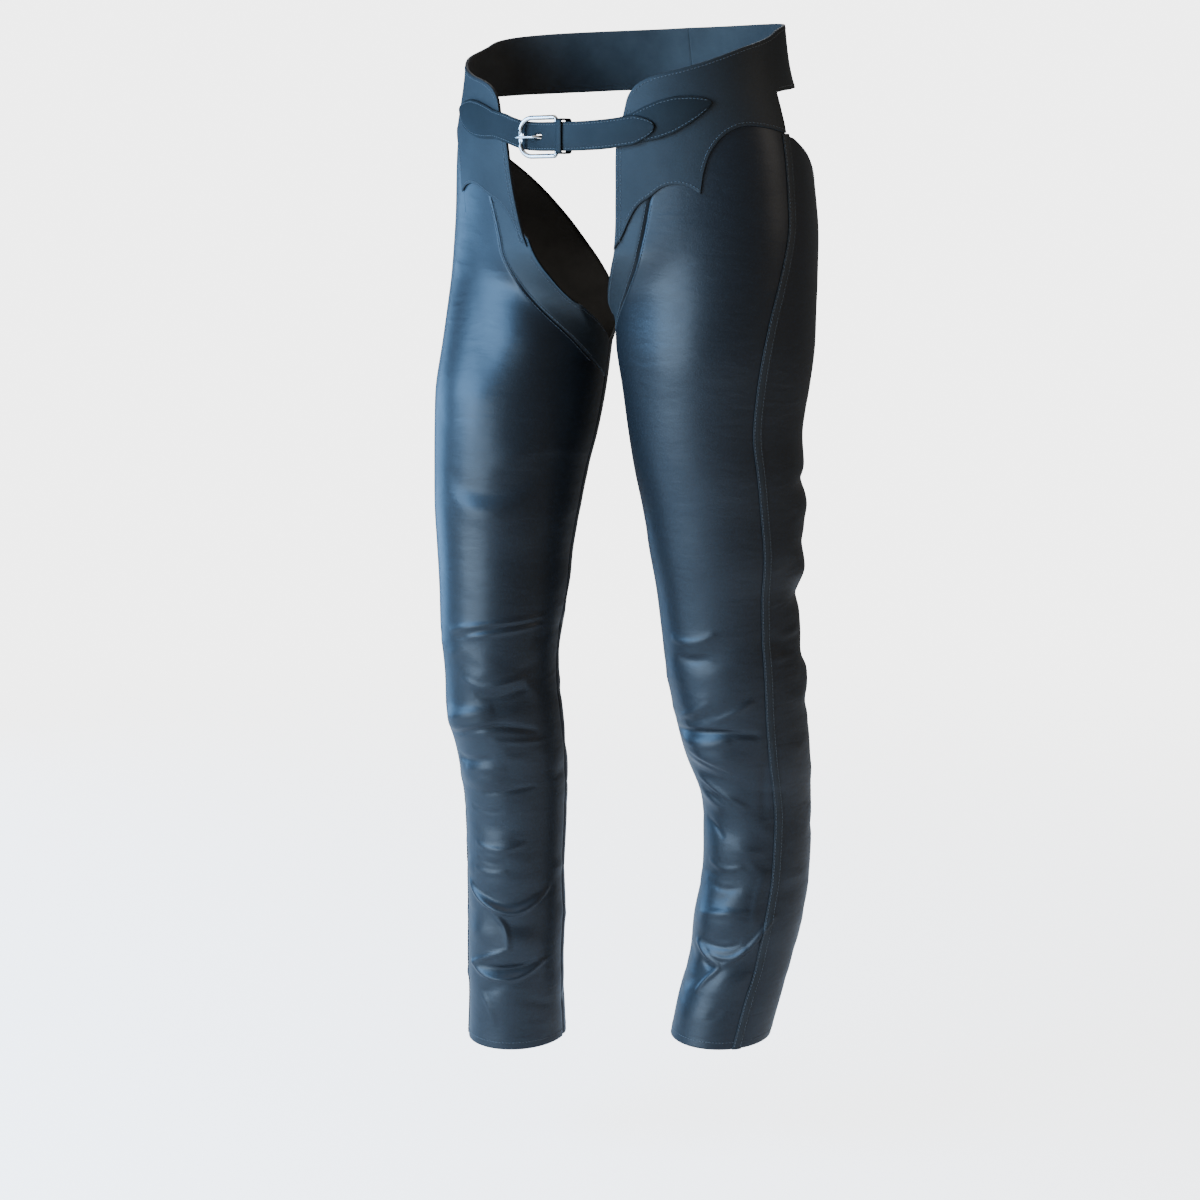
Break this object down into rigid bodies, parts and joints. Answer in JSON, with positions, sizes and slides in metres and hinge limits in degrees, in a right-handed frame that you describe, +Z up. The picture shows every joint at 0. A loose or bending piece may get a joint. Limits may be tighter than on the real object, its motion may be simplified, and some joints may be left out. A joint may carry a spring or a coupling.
{
  "type": "pair of full-length leather riding chaps",
  "caption": "Full-length black leather riding chaps, hollow, in worn shape: scalloped hip yokes, inner thigh strips, outer seam covers and a buckled front belt over open seat and front.",
  "frame": {"origin": "middle of the wearer's waist at the height of the belt, on the plane between the legs", "axes": "+Z up, +X to the wearer's left, -Y the way the wearer faces"},
  "size_m": [0.3856, 0.2782, 0.9846],
  "materials": {
    "leather": "smooth black finished cowhide, semi-gloss with a fine grain and soft creases",
    "trim_leather": "duller black leather, satin",
    "belt_leather": "black strap leather, satin with burnished edges",
    "nickel": "polished nickel plate"
  },
  "bodies": {
    "root": {"leg_front_left": "leather", "leg_back_left": "leather", "thigh_strip_left": "trim_leather", "yoke_left": "leather", "seam_cover_left": "leather", "leg_front_right": "leather", "leg_back_right": "leather", "thigh_strip_right": "trim_leather", "yoke_right": "leather", "seam_cover_right": "leather", "buckle_strap": "belt_leather", "free_strap": "belt_leather", "keeper": "belt_leather", "buckle_frame": "nickel", "buckle_prong": "nickel"}
  },
  "joints": []
}
